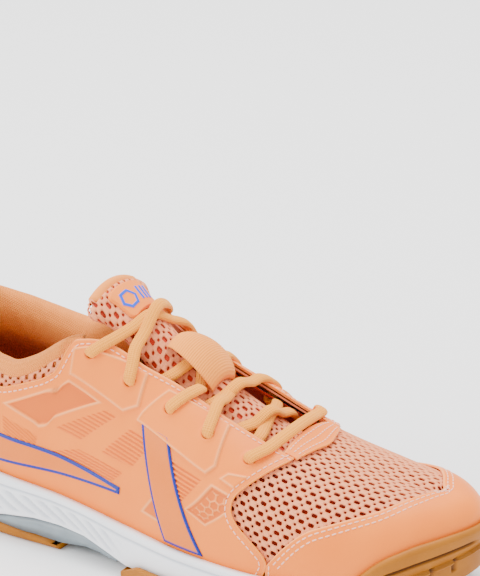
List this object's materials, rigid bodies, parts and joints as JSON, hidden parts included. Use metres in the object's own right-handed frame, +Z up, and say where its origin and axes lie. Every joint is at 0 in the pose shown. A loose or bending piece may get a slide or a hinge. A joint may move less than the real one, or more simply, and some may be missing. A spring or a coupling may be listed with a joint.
{
  "type": "court shoe",
  "caption": "Low indoor court shoe for the right foot: peach synthetic upper with open mesh, tied lace, white midsole and gum rubber sole.",
  "frame": {"origin": "centre of the shoe's bounding box, on the ground", "axes": "+X heel to toe, +Y towards the inner side of the foot, +Z up"},
  "size_m": [0.2796, 0.112, 0.119],
  "materials": {
    "gum_rubber": "satin gum rubber",
    "midsole_foam": "matte moulded foam",
    "shank_plastic": "satin",
    "gel": "translucent gel",
    "board": "matte",
    "synthetic_leather": "soft sheen, moulded relief",
    "orange_film": "pearl film with blue edge",
    "open_mesh": "open mesh",
    "rust_lining": "knit",
    "collar_knit": "fine knit",
    "foam": "open cell",
    "stiffener": "matte",
    "lace_cord": "woven",
    "webbing": "ribbed webbing",
    "aglet": "gloss"
  },
  "bodies": {
    "shoe": {"outsole_forefoot": "gum_rubber", "outsole_heel": "gum_rubber", "midfoot_shank": "shank_plastic", "midsole": "midsole_foam", "heel_gel_pad": "gel", "lasting_board": "board", "vamp_mesh": "open_mesh", "toe_puff": "stiffener", "toe_guard": "synthetic_leather", "vamp_strap": "synthetic_leather", "collar_mesh": "open_mesh", "quarter_lateral": "synthetic_leather", "eyestay_tape_lateral": "stiffener", "quarter_lining_lateral": "rust_lining", "saddle_panel_lateral": "orange_film", "heel_dart_lateral": "orange_film", "quarter_medial": "synthetic_leather", "eyestay_tape_medial": "stiffener", "quarter_lining_medial": "rust_lining", "saddle_panel_medial": "orange_film", "heel_dart_medial": "orange_film", "vamp_lining": "rust_lining", "heel_backstay": "synthetic_leather", "heel_counter": "synthetic_leather", "heel_stiffener": "stiffener", "collar_foam": "foam", "collar_lining": "collar_knit", "shoelace": "lace_cord", "aglet_lateral": "aglet", "aglet_medial": "aglet"},
    "tongue": {"tongue_mesh": "open_mesh", "tongue_foam": "foam", "tongue_lining": "rust_lining", "tongue_badge": "synthetic_leather", "lace_keeper": "webbing"},
    "insole": {"sockliner": "rust_lining"}
  },
  "joints": [
    {"name": "tongue_hinge", "type": "hinge", "parent": "shoe", "child": "tongue", "pos_m": [0.0636, 0, 0.0545], "axis": [0, 1, 0], "range_deg": [-1.5, 0], "stiffness_Nm_per_rad": 4},
    {"name": "sockliner_lift", "type": "hinge", "parent": "shoe", "child": "insole", "pos_m": [0.1256, 0, 0.0275], "axis": [0, 1, 0], "range_deg": [0, 5]}
  ]
}
